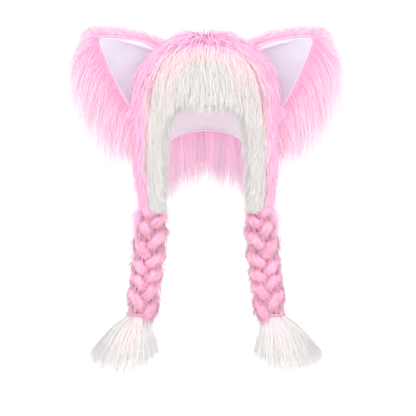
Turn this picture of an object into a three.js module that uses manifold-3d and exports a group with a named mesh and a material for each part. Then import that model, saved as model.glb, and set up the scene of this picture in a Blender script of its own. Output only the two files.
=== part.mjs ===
// A winter bonnet of long faux fur, shaped like an animal's head: a pink crown with two upright
// ears, a broad cream fur edge round the face, and ear flaps that run on into two plaited tails.
// Each tail ends in a cream fur tassel. Millimetres, +Z up, the face opening towards -Y, and the
// origin at the top of the lining, where the crown sits on the head.
import * as THREE from "three";
import { mergeVertices } from "three/addons/utils/BufferGeometryUtils.js";
import Module from "manifold-3d";

const wasm = await Module();
wasm.setup();

// Driving dimensions of the hood, which fits a head 575 mm round.
const HOOD = {
  halfWidth: 80,
  halfDepth: 98,
  height: 95, // from the top down to the widest ring
  taper: 0.15, // how fast the ring closes in below that
  floor: -262, // lower than any of the fur
};
const WALLS = { lining: 1.5, backingFrom: 1.9, backingTo: 4.4 };
const GAP = 0.4;
const SEAM_GAP = 0.55;

// Edges of the hood's panels, by the angle round from the middle of the forehead. Fur hangs past
// an edge by hang, and past the brow it reaches to fringe.
const BROW_EDGE = [
  { at: 0, z: -74, fringe: -101 },
  { at: 18, z: -75, fringe: -102 },
  { at: 30, z: -82, fringe: -114 },
  { at: 38, z: -108, fringe: -152 },
  { at: 43, z: -150, fringe: -200 },
  { at: 46, z: -190, fringe: -226 },
  { at: 50, z: -222, fringe: -237 },
  { at: 56, z: -231, fringe: -240 },
  { at: 68, z: -231, fringe: -240 },
];
const NAPE_EDGE = [
  { at: 56, z: -231, hang: 8 },
  { at: 66, z: -231, hang: 8 },
  { at: 72, z: -227, hang: 12 },
  { at: 80, z: -207, hang: 28 },
  { at: 92, z: -177, hang: 48 },
  { at: 110, z: -152, hang: 66 },
  { at: 135, z: -131, hang: 79 },
  { at: 160, z: -116, hang: 76 },
  { at: 180, z: -112, hang: 76 },
];
const FACE_SEAM = [
  { at: 0, z: -12 },
  { at: 15, z: -13.5 },
  { at: 28, z: -17 },
  { at: 37, z: -22 },
  { at: 47, z: -46 },
  { at: 52, z: -77 },
  { at: 58, z: -119 },
  { at: 62, z: -161 },
  { at: 64.5, z: -203 },
  { at: 66, z: -236 },
];
const FLAP_TIP = 66; // where the face seam meets the nape edge

// Pile of the fur: heights over the lining, and how the locks step and stagger down the hood.
const PILE = { top: 24, side: 21, shoulder: 9, under: 0.55, notch: 0.7, stagger: 0.07, wander: 0.04 };

// Ears, in the front view, for the ear on +X. The fur turns round the panel's edge, stands up past
// its top edge and hangs in locks from its low edge.
const EAR = {
  baseTop: [28, -23],
  baseLow: [76, -122],
  apex: [149, 9],
  bulge: 8,
  cup: 15,
  faceY: -12,
  panel: 1.6,
  hem: 4,
  rise: 14,
  thick: 9,
  columns: 12,
  across: 5,
};
const EAR_LOCKS = [
  { at: 0, out: 8, down: 22 },
  { at: 0.3, out: 16, down: 52 },
  { at: 0.55, out: 24, down: 84 },
  { at: 0.8, out: 31, down: 88 },
  { at: 1, out: 35, down: 56 },
  { at: 1.1, out: 34, down: 26 },
  { at: 1.2, out: 24, down: -2 },
];
const APEX_FAN = [1.04, 1.08, 1.12, 1.16, 1.2]; // stations of the locks that fan round the apex

// Tails: three strands plaited flat, hung from the flap tips and leaning outwards.
const TAIL = {
  top: new THREE.Vector3(74, -41, -233.5),
  foot: new THREE.Vector3(91, -42, -384),
  halfSpread: 13.7,
  halfDepth: 10.8,
  pitch: 74,
  wide: 7.5, // half of a strand's section, which is an ellipse
  deep: 5,
  roll: 0.9, // radians that a strand rolls to each side as it crosses the others
  gathered: 0.82,
  gatherLength: 30,
  steps: 20,
  sides: 8,
};

// Tassels: rings down from the neck, the last one the tips of the locks. Each ring is an ellipse,
// shifted outwards; the tips hang lower at the front and back than at the two sides.
const TASSEL = { sink: 9, columns: 28, ends: 26, socketWide: 19.4, socketDeep: 15.8, socketFloor: 2.4 };
const TASSEL_RINGS = [
  { down: 0, wide: 21.2, deep: 17.6, shift: 0 },
  { down: 12, wide: 21.8, deep: 18, shift: 1.5 },
  { down: 34, wide: 36, deep: 24, shift: 10 },
  { down: 59, wide: 55, deep: 31, shift: 26 },
];

const COLOURS = {
  pink: { color: 0xf7a8cf, roughness: 0.9, metalness: 0 },
  cream: { color: 0xece8e0, roughness: 0.9, metalness: 0 },
  panel: { color: 0xeee6f4, roughness: 0.8, metalness: 0 },
  lining: { color: 0xe6dde8, roughness: 0.6, metalness: 0 },
};

// Seeded random numbers, so that the locks fall the same way each time.
function dice(seed) {
  let state = seed;
  return () => {
    state = (state + 0x6d2b79f5) | 0;
    let t = Math.imul(state ^ (state >>> 15), 1 | state);
    t = (t + Math.imul(t ^ (t >>> 7), 61 | t)) ^ t;
    return ((t ^ (t >>> 14)) >>> 0) / 4294967296;
  };
}

const mix = THREE.MathUtils.lerp;
const clamp = THREE.MathUtils.clamp;
const smooth = THREE.MathUtils.smoothstep;

// A smooth line through a table's rows that never overshoots them.
function along(table, at, column = "z") {
  const x = clamp(at, table[0].at, table.at(-1).at);
  const i = clamp(table.findIndex((row) => row.at >= x) - 1, 0, table.length - 2);
  const rise = (k) => (table[k + 1][column] - table[k][column]) / (table[k + 1].at - table[k].at);
  const slope = (k) => {
    if (k < 1 || k > table.length - 2) return 0;
    const [before, after] = [rise(k - 1), rise(k)];
    return before * after > 0 ? (2 * before * after) / (before + after) : 0;
  };
  const wide = table[i + 1].at - table[i].at;
  const t = (x - table[i].at) / wide;
  return (
    table[i][column] * (1 + 2 * t) * (1 - t) ** 2 +
    slope(i) * wide * t * (1 - t) ** 2 +
    table[i + 1][column] * t * t * (3 - 2 * t) +
    slope(i + 1) * wide * t * t * (t - 1)
  );
}

// The hood's reference surface: a dome that runs into a tapering skirt. s counts quarter turns
// down from the top, so it is 1 at the widest ring.
const QUARTER = Math.PI / 2;
const SKIRT = HOOD.height * QUARTER;

function downTo(z) {
  if (z > -HOOD.height) return Math.acos(clamp(1 + z / HOOD.height, 0, 1)) / QUARTER;
  return 1 + (-HOOD.height - z) / SKIRT;
}

function hoodPoint(degrees, s, offset = 0) {
  const turn = THREE.MathUtils.degToRad(degrees);
  const dome = s < 1;
  const ring = dome ? Math.sin(s * QUARTER) : 1 - HOOD.taper * (s - 1) ** 2;
  const z = dome ? HOOD.height * (Math.cos(s * QUARTER) - 1) : -HOOD.height - SKIRT * (s - 1);
  const spread = dome ? ring : 1;
  const up = dome ? Math.cos(s * QUARTER) / HOOD.height : (-2 * HOOD.taper * (s - 1)) / SKIRT;
  const normal = new THREE.Vector3(
    (spread * Math.sin(turn)) / HOOD.halfWidth,
    (-spread * Math.cos(turn)) / HOOD.halfDepth,
    up,
  ).normalize();
  return new THREE.Vector3(
    HOOD.halfWidth * ring * Math.sin(turn),
    -HOOD.halfDepth * ring * Math.cos(turn),
    z,
  ).addScaledVector(normal, offset);
}

// The cloth's lower edge all round: over the brow, down to the flap tips and up to the nape.
function hemAt(degrees) {
  return along(Math.abs(degrees) < 56 ? BROW_EDGE : NAPE_EDGE, Math.abs(degrees));
}

// A closed solid lofted through rings of points, each ring a loop of the same count. The ends are
// filled by a ladder across the loop, or joined to each other where the loft runs all round.
function loft(rings, allRound = false) {
  const count = rings[0].length;
  const corner = [];
  const laps = allRound ? rings.length : rings.length - 1;
  for (let r = 0; r < laps; r++) {
    const next = (r + 1) % rings.length;
    for (let i = 0; i < count; i++) {
      const j = (i + 1) % count;
      const [a, b, c, d] = [r * count + i, next * count + i, next * count + j, r * count + j];
      corner.push(a, b, c, a, c, d);
    }
  }
  if (!allRound) {
    for (const [start, flip] of [[0, false], [(rings.length - 1) * count, true]]) {
      for (let i = 0, j = count - 1; i + 1 < j; i++, j--) {
        const [a, b, c, d] = [start + i, start + i + 1, start + j - 1, start + j];
        const faces = j - i === 2 ? [a, b, d] : [a, b, c, a, c, d];
        corner.push(...(flip ? faces.reverse() : faces));
      }
    }
  }
  const place = new Float32Array(rings.flat().flatMap((p) => p.toArray()));
  const geometry = new THREE.BufferGeometry();
  geometry.setAttribute("position", new THREE.BufferAttribute(place, 3));
  geometry.setIndex(corner);
  return geometry;
}

// A geometry as a solid: shared vertices merged, empty faces dropped, and faces turned outwards.
function solid(geometry) {
  const bare = new THREE.BufferGeometry();
  bare.setAttribute("position", geometry.getAttribute("position"));
  bare.setIndex(geometry.index);
  const merged = mergeVertices(bare, 1e-3);
  const vertProperties = merged.getAttribute("position").array;
  const corner = (n) => new THREE.Vector3().fromArray(vertProperties, 3 * n);
  const faces = [];
  let volume = 0;
  for (let i = 0; i < merged.index.count; i += 3) {
    const face = [0, 1, 2].map((k) => merged.index.getX(i + k));
    if (new Set(face).size < 3) continue;
    faces.push(face);
    volume += corner(face[0]).dot(corner(face[1]).cross(corner(face[2])));
  }
  const triVerts = new Uint32Array((volume < 0 ? faces.map((f) => f.reverse()) : faces).flat());
  return new wasm.Manifold(new wasm.Mesh({ numProp: 3, vertProperties, triVerts }));
}

// The largest body of a solid, without the crumbs that cutting one fur from another leaves.
function largest(body) {
  return body.decompose().sort((a, b) => b.volume() - a.volume())[0];
}

const joined = (bodies) => bodies.reduce((all, one) => all.add(one));

// A solid of columns that stand all round the hood's axis. Each column is a list of points on the
// hood, from the top down, and closes along the axis.
function roundSolid(columns, floor = HOOD.floor) {
  const rings = columns.map(({ at, rows }) => [
    ...rows.map(({ down, height }) => hoodPoint(at, down, height)),
    new THREE.Vector3(0, 0, floor),
  ]);
  return solid(loft(rings, true));
}

// Evenly spaced values.
const spaced = (from, to, count) =>
  Array.from({ length: count + 1 }, (_, i) => mix(from, to, i / count));

// Angles all round the hood, from the values of its one half.
const bothHalves = (half) => [...half, 180, ...half.slice(1).reverse().map((at) => -at)];

// Everything within a height over the lining, down to well below the flaps.
const GRID = { columns: 36, rows: 10 };
function within(height) {
  const bottom = downTo(HOOD.floor + 12);
  const rows = spaced(0, bottom, GRID.rows).map((down) => ({ down, height }));
  const half = spaced(0, 180, GRID.columns / 2).slice(0, -1);
  return roundSolid(bothHalves(half).map((at) => ({ at, rows })));
}

// A solid along the hood's surface, from below it to far above it, between two lines of each column.
function cutter(columns, allRound) {
  const rings = columns.map(({ at, top, bottom }) => {
    const rows = spaced(top, bottom, 5);
    return [
      ...rows.map((down) => hoodPoint(at, down, 70)),
      ...rows.toReversed().map((down) => hoodPoint(at, down, -30)),
    ];
  });
  return solid(loft(rings, allRound));
}

// Everything near the cloth below its edge.
function belowEdge() {
  const half = [...spaced(0, 30, 4), ...spaced(34, 72, 10), ...spaced(80, 168, 8)];
  const bottom = downTo(HOOD.floor - 20);
  return cutter(bothHalves(half).map((at) => ({ at, top: downTo(hemAt(at)), bottom })), true);
}

// Everything near the hood on the face side of the seam, less a gap.
function faceSide(gap) {
  const step = THREE.MathUtils.radToDeg(gap / HOOD.halfWidth);
  const edge = FLAP_TIP - step;
  const half = [...spaced(0, 30, 4), ...spaced(36, 62, 8), edge];
  const bottom = downTo(HOOD.floor - 20);
  const columns = [...half.slice(1).reverse().map((at) => -at), ...half].map((at) => ({
    at,
    top: downTo(along(FACE_SEAM, Math.abs(at) + step) - gap),
    bottom,
  }));
  return cutter(columns, false);
}

// How far the fur's locks stand out. They are longest at the shoulders, over the ears.
function pileHeight(degrees, down) {
  const sideways = Math.abs(Math.sin(THREE.MathUtils.degToRad(degrees)));
  const shoulder = Math.exp(-(((down - 0.5) / 0.3) ** 2));
  return mix(PILE.top, PILE.side, smooth(down, 0, 0.8)) + PILE.shoulder * sideways * shoulder;
}

// Deep fur as stepped tiers of locks. Every second column is the crest of a lock and ends in its
// tip, the ones between are the notches, and the next tier's locks fall between them. The last
// tier's tips are the free ends of the fringe.
function fur({ angles, tiers, last, notch, random }) {
  const columns = angles.map((at, i) => {
    const rows = [{ down: 0, height: PILE.top }];
    let from = 0.08;
    for (let k = 1; k <= tiers; k++) {
      const crest = (i + k) % 2 === 0;
      const end = k === tiers;
      const mean = mix(0.04, last(at), k / tiers);
      const shift = end ? (crest ? 0 : -notch) : crest ? PILE.stagger : -PILE.stagger;
      const tip = mean + shift + PILE.wander * (random() - (end ? 1 : 0.5));
      const height = pileHeight(at, tip) * (crest ? 1 : PILE.notch) * mix(0.9, 1.08, random());
      rows.push({ down: mix(from, tip, 0.55), height: height * 0.92 });
      rows.push({ down: tip, height: end ? WALLS.backingTo : height });
      if (!end) rows.push({ down: tip + 0.015, height: height * PILE.under });
      from = tip + 0.015;
    }
    return { at, rows };
  });
  return roundSolid(columns, HOOD.floor + 20);
}

// A point of an ear. u runs from the ear's top edge to its low edge, v from its base to its apex,
// and back is the depth behind the hollow face. grow widens the ear all round.
function earPoint(side, u, v, back, grow = 0) {
  const top = new THREE.Vector2(...EAR.baseTop);
  const low = new THREE.Vector2(...EAR.baseLow);
  const apex = new THREE.Vector2(...EAR.apex);
  const across = low.clone().sub(top);
  const outward = apex.clone().sub(top.clone().lerp(low, 0.5));
  const half = across.length() / 2;
  const narrow = half * (1 - v) ** 0.9 + EAR.bulge * Math.sin(Math.PI * v) + 2 * v + grow;
  const place = top
    .clone()
    .lerp(low, 0.5)
    .addScaledVector(outward, v + (grow * v) / outward.length())
    .addScaledVector(across.normalize(), narrow * (2 * u - 1));
  const hollow = EAR.cup * (1 - (2 * u - 1) ** 2) * Math.sin(Math.PI * clamp(v * 0.72 + 0.28, 0, 1));
  return new THREE.Vector3(side * place.x, EAR.faceY + hollow + back, place.y);
}

// A wall of the ear between two depths, as a loop of section points at each column.
function earWall(side, front, back, grow = 0) {
  const steps = spaced(0, 1, EAR.across);
  const rings = spaced(0, 1, EAR.columns).map((v) => [
    ...steps.map((u) => earPoint(side, u, v, back, grow)),
    ...steps.toReversed().map((u) => earPoint(side, u, v, front, grow)),
  ]);
  return solid(loft(rings));
}

// The ear's fur: a backing behind the panel that turns round its edge, thick over the back, with
// short locks up past the top edge and long ones that hang outwards from the low edge.
function earFur(side, grow = 0) {
  const random = dice(41);
  const front = EAR.panel + GAP - grow;
  const steps = spaced(0, 1, EAR.across);
  const stations = [...spaced(0, 1, EAR.columns), ...APEX_FAN];
  stations.splice(0, 1, -0.02 * grow);
  const rings = stations.map((station, i) => {
    const v = Math.min(station, 1);
    const lock = i % 2 ? 1 : 0.6;
    const reach = lock * mix(0.9, 1.1, random());
    const at = (u, back) => earPoint(side, u, v, back, EAR.hem + grow);
    const out = side * (along(EAR_LOCKS, station, "out") * reach + grow);
    const down = -along(EAR_LOCKS, station, "down") * reach - 2 * grow;
    const hang = (part, back) =>
      at(1, back).add(new THREE.Vector3(out * part ** 0.45, 0, down * part ** 1.5));
    const thick = front + EAR.thick * mix(1, 0.6, v) + 2 * grow;
    const rise = EAR.rise * mix(0.55, 1, lock) + 3 * grow;
    const stand = new THREE.Vector3(side * 2, 3, rise);
    return [
      ...steps.map((u) => at(u, front)),
      hang(0.5, front + 2),
      hang(1, front + 4),
      hang(0.55, thick + 3),
      at(0.95, thick + 1),
      at(0.6, thick + 3),
      at(0.25, thick + 2),
      at(0, EAR.panel + GAP + 4).add(stand),
    ];
  });
  return solid(loft(rings));
}

const STRANDS = [0, 1, 2];

// One strand of a tail. The three strands pass over and under each other in turn, drawn closer
// together where they leave the flap and where they go into the tassel.
function strand(side, index, grow = 0) {
  const axis = TAIL.foot.clone().sub(TAIL.top);
  const long = axis.length();
  const acrossAxis = new THREE.Vector3(1, 0, -axis.x / axis.z).normalize();
  const freeAt = (t) => smooth(Math.min(t, 1 - t) * long, 0, TAIL.gatherLength);
  const middle = (t) => {
    const turn = (2 * Math.PI * t * long) / TAIL.pitch + (2 * Math.PI * index) / 3;
    const size = mix(TAIL.gathered, 1, freeAt(t));
    const centre = TAIL.top
      .clone()
      .addScaledVector(axis, t)
      .addScaledVector(acrossAxis, size * TAIL.halfSpread * Math.sin(turn));
    centre.y += size * TAIL.halfDepth * Math.sin(2 * turn);
    return { centre, size, roll: TAIL.roll * Math.cos(turn) };
  };
  const NUDGE = 1e-3;
  const stations = spaced(0, 1, TAIL.steps);
  stations.splice(0, 1, -grow / long);
  stations.splice(-1, 1, 1 + grow / long);
  const rings = stations.map((t) => {
    const { centre, size, roll } = middle(t);
    const travel = middle(t + NUDGE).centre.sub(middle(t - NUDGE).centre).normalize();
    travel.lerpVectors(axis.clone().normalize(), travel, freeAt(t)).normalize();
    const flat = new THREE.Vector3(0, 1, 0).cross(travel).normalize();
    const deep = new THREE.Vector3().crossVectors(travel, flat);
    return spaced(0, 2 * Math.PI, TAIL.sides)
      .slice(0, -1)
      .map((a) => {
        const section = new THREE.Vector2(
          (size * TAIL.wide + grow) * Math.cos(a),
          (size * TAIL.deep + grow) * Math.sin(a),
        ).rotateAround(new THREE.Vector2(), roll);
        const p = centre.clone().addScaledVector(flat, section.x).addScaledVector(deep, section.y);
        return new THREE.Vector3(side * p.x, p.y, p.z);
      });
  });
  return solid(loft(rings));
}

// A tassel, gathered to a neck at its top and spreading outwards into locks. It is hollowed a
// little from below, between the tips, and the plait's end sits in a socket in its neck.
function tassel(side) {
  const random = dice(71);
  const neck = new THREE.Vector3(TAIL.foot.x, TAIL.foot.y, TAIL.foot.z + TASSEL.sink);
  const place = ({ down, wide, deep, shift }, turn, size = 1, lower = 0) =>
    new THREE.Vector3(
      side * (neck.x + shift + size * wide * Math.cos(turn)),
      neck.y + size * deep * Math.sin(turn),
      neck.z - down - lower,
    );
  const tips = TASSEL_RINGS.at(-1);
  const rings = spaced(0, 2 * Math.PI, TASSEL.columns)
    .slice(0, -1)
    .map((turn, i) => {
      const reach = (i % 2 ? 0.72 : 1) * mix(0.9, 1.1, random());
      const lower = TASSEL.ends * Math.abs(Math.sin(turn));
      const tip = { ...tips, down: mix(TASSEL_RINGS[2].down, tips.down + lower, reach) };
      return [
        place(TASSEL_RINGS[0], 0, 0),
        ...TASSEL_RINGS.slice(0, -1).map((ring) => place(ring, turn)),
        place(tip, turn, mix(0.75, 1, reach)),
        place(tips, 0, 0, 0),
      ];
    });
  const socket = [2, -TASSEL.sink - TASSEL.socketFloor].map((rise) =>
    spaced(0, 2 * Math.PI, 16)
      .slice(0, -1)
      .map((turn) => {
        const oval = { down: -rise, wide: TASSEL.socketWide, deep: TASSEL.socketDeep, shift: 0 };
        return place(oval, turn);
      }),
  );
  return solid(loft(rings, true)).subtract(solid(loft(socket)));
}

// Panels of the hood, cut from whole walls.
const inside = within(WALLS.backingFrom);
const cloth = within(WALLS.backingTo);
const lining = within(WALLS.lining).subtract(within(0)).subtract(belowEdge());
const tails = new Map([-1, 1].map((side) => [side, STRANDS.map((index) => strand(side, index))]));
const tailRoom = joined([-1, 1].flatMap((side) => STRANDS.map((index) => strand(side, index, 1.3 * GAP))));
const earRoom = joined(
  [-1, 1].flatMap((side) => [earFur(side, 2 * GAP), earWall(side, -2 * GAP, EAR.panel + 3 * GAP, 2 * GAP)]),
).subtract(cloth);

// Cream fur round the face, the last tier a fringe over the brow.
function faceTrim() {
  const angles = [...spaced(-68, 68, 34), ...spaced(100, 260, 5)];
  const last = (at) => downTo(along(BROW_EDGE, Math.abs(at), "fringe"));
  const body = fur({ angles, tiers: 3, last, notch: 0.09, random: dice(11) });
  return body.intersect(faceSide(SEAM_GAP)).subtract(inside).subtract(tailRoom);
}

// Pink fur over the rest of the hood, the last tier a fringe past the nape.
function crownFur() {
  const angles = spaced(0, 360, 48).slice(0, -1).map(foldRound);
  const last = (at) => {
    const turn = Math.max(Math.abs(at), 56);
    return downTo(along(NAPE_EDGE, turn) - along(NAPE_EDGE, turn, "hang"));
  };
  const body = fur({ angles, tiers: 5, last, notch: 0.17, random: dice(5) });
  return body.subtract(faceSide(0)).subtract(inside).subtract(earRoom).subtract(tailRoom);
}

// An angle from 0 to 360 as one from -180 to 180.
function foldRound(degrees) {
  return degrees > 180 ? degrees - 360 : degrees;
}

// The finished group: every piece is a mesh of its own.
const hat = new THREE.Group();

function piece(name, body, look) {
  const { vertProperties, triVerts } = largest(body).getMesh();
  const geometry = new THREE.BufferGeometry();
  geometry.setAttribute("position", new THREE.BufferAttribute(vertProperties, 3));
  geometry.setIndex(new THREE.BufferAttribute(triVerts, 1));
  geometry.computeVertexNormals();
  const mesh = new THREE.Mesh(geometry, new THREE.MeshStandardMaterial(COLOURS[look]));
  mesh.name = name;
  hat.add(mesh);
}

const earFloor = within(WALLS.backingTo + GAP);
piece("hood_lining", lining, "lining");
piece("crown_fur", crownFur(), "pink");
piece("face_trim_fur", faceTrim(), "cream");
for (const [side, name] of [[-1, "left"], [1, "right"]]) {
  piece(`ear_fur_${name}`, earFur(side).subtract(earFloor), "pink");
  piece(`ear_panel_${name}`, earWall(side, 0, EAR.panel).subtract(earFloor), "panel");
  for (const index of STRANDS) piece(`tail_strand_${name}_${index + 1}`, tails.get(side)[index], "pink");
  piece(`tassel_${name}`, tassel(side), "cream");
}

export default hat;
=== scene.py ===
import math

import bmesh
import bpy
import numpy as np
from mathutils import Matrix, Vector


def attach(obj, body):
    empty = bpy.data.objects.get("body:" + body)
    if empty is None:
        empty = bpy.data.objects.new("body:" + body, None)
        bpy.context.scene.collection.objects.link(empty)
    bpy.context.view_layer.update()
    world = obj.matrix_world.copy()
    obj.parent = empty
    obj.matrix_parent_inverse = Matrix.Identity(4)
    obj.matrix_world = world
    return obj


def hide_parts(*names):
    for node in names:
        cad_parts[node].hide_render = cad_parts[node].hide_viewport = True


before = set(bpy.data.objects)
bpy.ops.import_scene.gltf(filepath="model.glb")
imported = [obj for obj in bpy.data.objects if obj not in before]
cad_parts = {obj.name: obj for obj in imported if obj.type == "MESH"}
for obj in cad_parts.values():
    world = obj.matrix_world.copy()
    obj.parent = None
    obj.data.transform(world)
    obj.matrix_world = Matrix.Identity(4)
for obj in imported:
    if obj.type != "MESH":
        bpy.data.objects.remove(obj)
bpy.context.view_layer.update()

# The studio: a plain pale floor, big soft lights in front, above and at both sides, and a camera
# level with the middle of the hat, which hangs over the floor as it does when worn.
MM = 0.001
FLOOR, FLOOR_REACH = -585 * MM, 8.0
CAMERA_SIDE, CAMERA_BACK, CAMERA_HEIGHT = 2.8 * MM, 2.03, -228 * MM
HAT_FRONT = 0.03
VIEW_WIDTH = 0.582
SENSOR = 36
HAT_MIDDLE = Vector((0, 0, -0.22))
SOFTBOXES = {
    "left_softbox": {"place": (-1.7, -1.7, 0.8), "size": 1.6, "watts": 13},
    "right_softbox": {"place": (1.7, -1.7, 0.8), "size": 1.6, "watts": 12},
    "front_softbox": {"place": (0.1, -2.5, -0.15), "size": 1.5, "watts": 10},
    "top_softbox": {"place": (0.0, -0.7, 1.7), "size": 1.6, "watts": 9},
}


def preset(node, values):
    for socket, value in values.items():
        node.inputs[socket].default_value = value


def studio_floor():
    reach = np.linspace(-FLOOR_REACH, FLOOR_REACH, 17)
    points = [(x, y, FLOOR) for y in reach for x in reach]
    wide = len(reach)
    corners = [r * wide + c for r in range(wide - 1) for c in range(wide - 1)]
    mesh = bpy.data.meshes.new("studio_floor")
    mesh.from_pydata(points, [], [(i, i + 1, i + wide + 1, i + wide) for i in corners])
    mesh.shade_smooth()
    floor = bpy.data.objects.new("studio_floor", mesh)
    bpy.context.collection.objects.link(floor)
    paper = bpy.data.materials.new("studio_paper")
    paper.use_nodes = True
    finish = {"Base Color": (0.96, 0.96, 0.96, 1), "Roughness": 0.9}
    glow = {"Emission Color": (1, 1, 1, 1), "Emission Strength": 0.2}
    preset(paper.node_tree.nodes["Principled BSDF"], {**finish, **glow})
    mesh.materials.append(paper)


def studio_light(name, place, size, watts):
    light = bpy.data.lights.new(name, "AREA")
    light.size = size
    light.energy = watts
    lamp = bpy.data.objects.new(name, light)
    lamp.location = place
    lamp.rotation_euler = (HAT_MIDDLE - Vector(place)).to_track_quat("-Z", "Y").to_euler()
    bpy.context.collection.objects.link(lamp)


studio_floor()
for name, softbox in SOFTBOXES.items():
    studio_light(name, **softbox)

world = bpy.data.worlds.new("studio_world")
world.use_nodes = True
preset(world.node_tree.nodes["Background"], {"Color": (1, 0.99, 1, 1), "Strength": 1.05})
bpy.context.scene.world = world
bpy.context.scene.view_settings.view_transform = "Standard"

lens = bpy.data.cameras.new("camera")
lens.sensor_width = SENSOR
lens.lens = SENSOR * (CAMERA_BACK - HAT_FRONT) / VIEW_WIDTH
lens.clip_end = 20
camera = bpy.data.objects.new("camera", lens)
camera.location = (CAMERA_SIDE, -CAMERA_BACK, CAMERA_HEIGHT)
camera.rotation_euler = (math.pi / 2, 0, 0)
bpy.context.collection.objects.link(camera)
bpy.context.scene.camera = camera

# Hood lining. The smooth lilac-white tricot inside the hood, sewn from gores that meet at the
# top, with its edge at the nape turned over into a narrow roll and topstitched.
HALF_WIDTH, HALF_DEPTH, HEIGHT, TAPER = 80.0, 98.0, 95.0, 0.15
QUARTER = math.pi / 2
SKIRT = HEIGHT * QUARTER
BROW_EDGE = {
    "at": [0, 18, 30, 38, 43, 46, 50, 56, 68],
    "z": [-74, -75, -82, -108, -150, -190, -222, -231, -231],
    "fringe": [-101, -102, -114, -151, -196, -219, -228, -233, -233],
}
NAPE_EDGE = {
    "at": [56, 66, 72, 80, 92, 110, 135, 160, 180],
    "z": [-231, -231, -227, -207, -177, -152, -131, -116, -112],
    "hang": [8, 8, 12, 28, 48, 66, 79, 76, 76],
}
FACE_SEAM = {
    "at": [0, 15, 28, 37, 47, 52, 58, 62, 64.5, 66],
    "z": [-12, -13.5, -17, -22, -46, -77, -119, -161, -203, -236],
}
FLAP_TIP = 66.0
BROW_END = 56.0


def along(table, at, column="z"):
    """A smooth line through a table's rows that never overshoots them."""
    knots, values = np.array(table["at"], float), np.array(table[column], float)
    rise = np.diff(values) / np.diff(knots)
    both, total = rise[:-1] * rise[1:], rise[:-1] + rise[1:]
    inner = np.where(both > 0, 2 * both / np.where(both > 0, total, 1), 0)
    slope = np.concatenate([[0], inner, [0]])
    x = np.clip(np.asarray(at, float), knots[0], knots[-1])
    i = np.clip(np.searchsorted(knots, x) - 1, 0, len(knots) - 2)
    wide = knots[i + 1] - knots[i]
    t = (x - knots[i]) / wide
    ends = values[i] * (1 + 2 * t) * (1 - t) ** 2 + values[i + 1] * t * t * (3 - 2 * t)
    return ends + slope[i] * wide * t * (1 - t) ** 2 + slope[i + 1] * wide * t * t * (t - 1)


def down_to(z):
    """Quarter turns down from the top of the hood to a height."""
    z = np.asarray(z, float)
    dome = np.arccos(np.clip(1 + z / HEIGHT, 0, 1)) / QUARTER
    return np.where(z > -HEIGHT, dome, 1 + (-HEIGHT - z) / SKIRT)


def fold(turn):
    """An angle round the hood as its distance from the middle of the front."""
    return np.abs((np.asarray(turn, float) + 180) % 360 - 180)


def hem(turn):
    turn = fold(turn)
    return np.where(turn < BROW_END, along(BROW_EDGE, turn), along(NAPE_EDGE, turn))


def hood(turn, down, height=0.0):
    """Points over the hood: degrees from the front, quarter turns down, millimetres out."""
    turn, down, height = np.broadcast_arrays(np.radians(turn), down, height)
    dome = down < 1
    arc = down * QUARTER
    ring = np.where(dome, np.sin(arc), 1 - TAPER * (down - 1) ** 2)
    z = np.where(dome, HEIGHT * (np.cos(arc) - 1), -HEIGHT - SKIRT * (down - 1))
    spread = np.where(dome, ring, 1)
    rise = np.where(dome, np.cos(arc) / HEIGHT, -2 * TAPER * (down - 1) / SKIRT)
    across, ahead = spread * np.sin(turn) / HALF_WIDTH, -spread * np.cos(turn) / HALF_DEPTH
    normal = np.stack([across, ahead, rise], -1)
    normal /= np.linalg.norm(normal, axis=-1, keepdims=True)
    place = np.stack([HALF_WIDTH * ring * np.sin(turn), -HALF_DEPTH * ring * np.cos(turn), z], -1)
    return place + normal * height[..., None]


def smooth(x, low, high):
    t = np.clip((x - low) / (high - low), 0, 1)
    return t * t * (3 - 2 * t)


def make_mesh(name, points, corners, starts, material, **fields):
    """A mesh object from flat arrays, in millimetres, with named values on its points."""
    mesh = bpy.data.meshes.new(name)
    mesh.vertices.add(len(points))
    mesh.vertices.foreach_set("co", (np.asarray(points, float) * MM).ravel())
    mesh.loops.add(len(corners))
    mesh.loops.foreach_set("vertex_index", np.asarray(corners, np.int32))
    mesh.polygons.add(len(starts))
    mesh.polygons.foreach_set("loop_start", np.asarray(starts, np.int32))
    mesh.update(calc_edges=True)
    for field, values in fields.items():
        values = np.asarray(values, np.float32)
        kind, key = ("FLOAT_VECTOR", "vector") if values.ndim == 2 else ("FLOAT", "value")
        mesh.attributes.new(field, kind, "POINT").data.foreach_set(key, values.ravel())
    mesh.shade_smooth()
    mesh.materials.append(material)
    piece = bpy.data.objects.new(name, mesh)
    bpy.context.collection.objects.link(piece)
    return piece


def loft(name, rings, material, around=False, **fields):
    """A closed solid through rings of points, joined end to end where it runs all round."""
    rings = np.asarray(rings, float)
    count, size = rings.shape[:2]
    near = np.arange(count if around else count - 1)
    far = (near + 1) % count
    i = np.arange(size)
    j = (i + 1) % size
    near, far = near[:, None] * size, far[:, None] * size
    quads = np.stack([near + i, far + i, far + j, near + j], -1).reshape(-1, 4)
    corners, starts = quads.ravel(), np.arange(len(quads)) * 4
    if not around:
        starts = np.concatenate([starts, [len(corners), len(corners) + size]])
        corners = np.concatenate([corners, i[::-1], (count - 1) * size + i])
    fields = {key: np.reshape(value, (count * size, -1)).squeeze() for key, value in fields.items()}
    piece = make_mesh(name, rings.reshape(-1, 3), corners, starts, material, **fields)
    shape = bmesh.new()
    shape.from_mesh(piece.data)
    bmesh.ops.remove_doubles(shape, verts=shape.verts, dist=1e-6)
    bmesh.ops.dissolve_degenerate(shape, edges=shape.edges, dist=1e-7)
    bmesh.ops.recalc_face_normals(shape, faces=shape.faces)
    if shape.calc_volume(signed=True) < 0:
        bmesh.ops.reverse_faces(shape, faces=shape.faces)
    shape.to_mesh(piece.data)
    shape.free()
    piece.data.shade_smooth()
    return piece


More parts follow.
